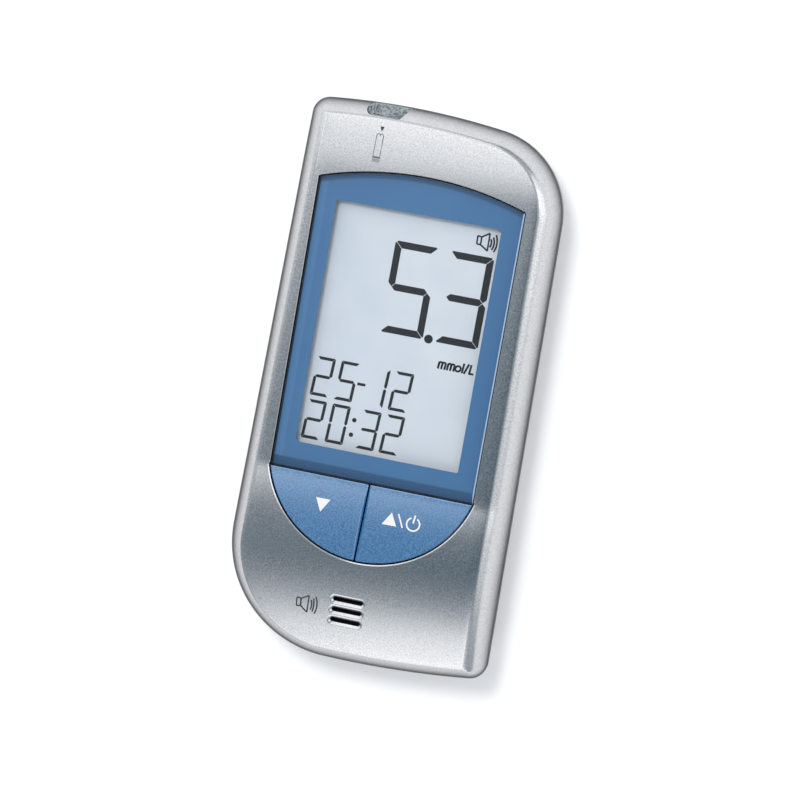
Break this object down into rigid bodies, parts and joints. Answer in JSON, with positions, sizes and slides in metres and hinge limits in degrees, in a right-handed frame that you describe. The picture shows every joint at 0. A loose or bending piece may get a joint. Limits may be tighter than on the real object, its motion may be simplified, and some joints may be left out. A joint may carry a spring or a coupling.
{
  "type": "blood glucose meter",
  "caption": "Hand-held talking blood glucose meter: a silver folded shell, a large display under a blue-edged lens, half-round keys, sound slots, a test-strip port and a sliding battery door.",
  "frame": {"origin": "on the back face that the meter lies on, under the middle of its length and width", "axes": "+Z out of the display, +Y along the meter towards the test-strip port, +X to the right seen from the front"},
  "size_m": [0.0514, 0.103, 0.0168],
  "materials": {
    "silver_paint": "satin silver metallic paint over moulded plastic",
    "blue_paint": "satin blue metallic paint over moulded plastic",
    "lens": "clear polished acrylic",
    "blue_film": "printed blue film",
    "black_foam": "soft foam",
    "lcd_glass": "polarised display glass",
    "reflector": "satin reflective film",
    "white_plastic": "moulded white plastic",
    "black_rubber": "matte rubber",
    "black_plastic": "moulded black plastic",
    "board": "green solder mask",
    "tinned_steel": "tinned steel",
    "ceramic": "brown ceramic",
    "grey_plastic": "moulded grey plastic",
    "gold_contacts": "gold plated spring strip",
    "speaker_film": "pressed film",
    "magnet": "plated magnet",
    "lead_insulation": "red insulated wire",
    "cell_steel": "brushed steel can",
    "spring_steel": "nickel plated spring steel",
    "screw_steel": "zinc plated steel"
  },
  "bodies": {
    "housing": {"front_cover": "silver_paint", "rear_cover": "silver_paint", "display_lens": "lens", "display_border": "blue_film", "display_gasket": "black_foam", "lcd_front_glass": "lcd_glass", "lcd_rear_glass": "lcd_glass", "lcd_reflector": "reflector", "lcd_frame": "white_plastic", "zebra_strip": "black_rubber", "switch_bodies": "black_plastic", "circuit_board": "board", "processor": "black_plastic", "voice_chip": "black_plastic", "crystal": "tinned_steel", "capacitors": "ceramic", "strip_guide": "grey_plastic", "strip_connector": "black_plastic", "strip_contacts": "gold_contacts", "speaker_basket": "tinned_steel", "speaker_cone": "speaker_film", "speaker_magnet": "magnet", "speaker_gasket": "black_foam", "speaker_leads": "lead_insulation", "upper_cell": "cell_steel", "lower_cell": "cell_steel", "negative_contacts": "spring_steel", "positive_contacts": "spring_steel", "case_screws": "screw_steel", "board_screws": "screw_steel"},
    "key_down": {"key_down": "blue_paint", "switch_stem_down": "black_plastic"},
    "key_power": {"key_power": "blue_paint", "switch_stem_power": "black_plastic"},
    "battery_door": {"battery_door": "silver_paint"}
  },
  "joints": [
    {"name": "down_key_press", "type": "slide", "parent": "housing", "child": "key_down", "axis": [0, 0, -1], "range_m": [0, 0.0004], "stiffness_N_per_m": 900, "springref_m": -0.0006},
    {"name": "power_key_press", "type": "slide", "parent": "housing", "child": "key_power", "axis": [0, 0, -1], "range_m": [0, 0.0004], "stiffness_N_per_m": 900, "springref_m": -0.0006},
    {"name": "battery_door_slide", "type": "slide", "parent": "housing", "child": "battery_door", "axis": [0, -1, 0], "range_m": [0, 0.046]}
  ]
}
